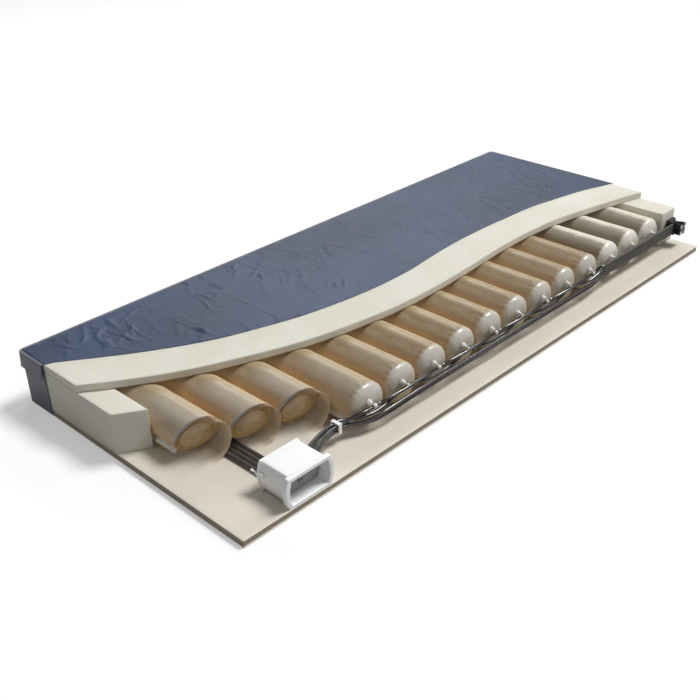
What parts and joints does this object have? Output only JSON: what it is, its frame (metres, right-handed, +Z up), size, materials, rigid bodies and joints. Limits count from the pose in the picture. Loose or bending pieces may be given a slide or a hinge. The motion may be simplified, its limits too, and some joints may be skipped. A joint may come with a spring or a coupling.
{
  "type": "pressure relief mattress",
  "caption": "Alternating pressure mattress shown in section: blue cover, foam layer, transverse air cells, air hoses, hose connector and release valve on a foam base.",
  "frame": {"origin": "centre of the flat underside, on the surface the mattress lies on", "axes": "+X from the foot end to the head end, +Y from the open side to the covered side, +Z up"},
  "size_m": [2.016, 0.876, 0.158],
  "materials": {
    "base_fabric": "coated",
    "base_foam": "foam",
    "foam": "open cell foam",
    "cover_fabric": "coated stretch fabric",
    "zip_tape": "woven",
    "zip_coil": "moulded",
    "zip_metal": "plated",
    "amber_film": "translucent film",
    "static_film": "film",
    "inner_film": "translucent film",
    "clear_film": "clear film",
    "weld_film": "welded film",
    "white_fitting": "moulded",
    "clear_tube": "clear tube",
    "black_hose": "glossy",
    "ribbon_rubber": "matte",
    "white_housing": "moulded",
    "grey_plastic": "moulded",
    "seal_rubber": "matte",
    "black_plastic": "moulded",
    "steel": "turned"
  },
  "bodies": {
    "root": {"base_bottom_skin": "base_fabric", "base_foam_sheet": "base_foam", "base_top_skin": "base_fabric", "foot_foam_block": "foam", "head_foam_block": "foam", "side_foam_bolster": "foam", "foam_topper": "foam", "cover_top_panel": "cover_fabric", "cover_side_border": "cover_fabric", "cover_foot_border": "cover_fabric", "cover_head_border": "cover_fabric", "cover_flap_side": "cover_fabric", "cover_flap_foot": "cover_fabric", "cover_flap_head": "cover_fabric", "zip_tape": "zip_tape", "zip_coil": "zip_coil", "air_cell_01": "amber_film", "air_cell_02": "amber_film", "air_cell_03": "amber_film", "air_cell_04": "amber_film", "air_cell_05": "amber_film", "air_cell_06": "amber_film", "air_cell_07": "amber_film", "air_cell_08": "amber_film", "air_cell_09": "amber_film", "air_cell_10": "amber_film", "air_cell_11": "amber_film", "air_cell_12": "amber_film", "air_cell_13": "static_film", "air_cell_14": "static_film", "air_cell_15": "static_film", "inner_cell_01": "inner_film", "inner_cell_02": "inner_film", "inner_cell_03": "inner_film", "inner_cells_closed": "inner_film", "clear_sleeves": "clear_film", "cell_weld_flanges": "weld_film", "cell_ports": "white_fitting", "port_links": "clear_tube", "t_connectors": "white_fitting", "feed_hose_a": "black_hose", "feed_hose_b": "black_hose", "static_hose": "black_hose", "sensing_hose": "black_hose", "hose_clip": "white_fitting", "foot_ribbon": "ribbon_rubber", "head_ribbon": "ribbon_rubber", "connector_housing": "white_housing", "connector_port_block": "grey_plastic", "port_seals": "seal_rubber", "cpr_plate": "black_plastic", "cpr_body": "black_plastic", "far_manifold": "white_fitting", "inner_feed_line": "ribbon_rubber", "inner_ports": "white_fitting"},
    "knob": {"cpr_knob": "black_plastic", "cpr_spindle": "steel", "cpr_tube_ends": "clear_tube"},
    "slider": {"zip_slider": "zip_metal"},
    "pin": {"release_pin": "white_housing"}
  },
  "joints": [
    {"name": "knob_turn", "type": "hinge", "parent": "root", "child": "knob", "pos_m": [0.971, -0.373, 0.078], "axis": [0, -1, 0], "range_deg": [0, 90]},
    {"name": "slider_run", "type": "slide", "parent": "root", "child": "slider", "axis": [1, 0, 0], "range_m": [0, 1.8]},
    {"name": "pin_press", "type": "slide", "parent": "root", "child": "pin", "axis": [0, -1, 0], "range_m": [0, 0.005], "stiffness_N_per_m": 400, "springref_m": -0.001}
  ]
}
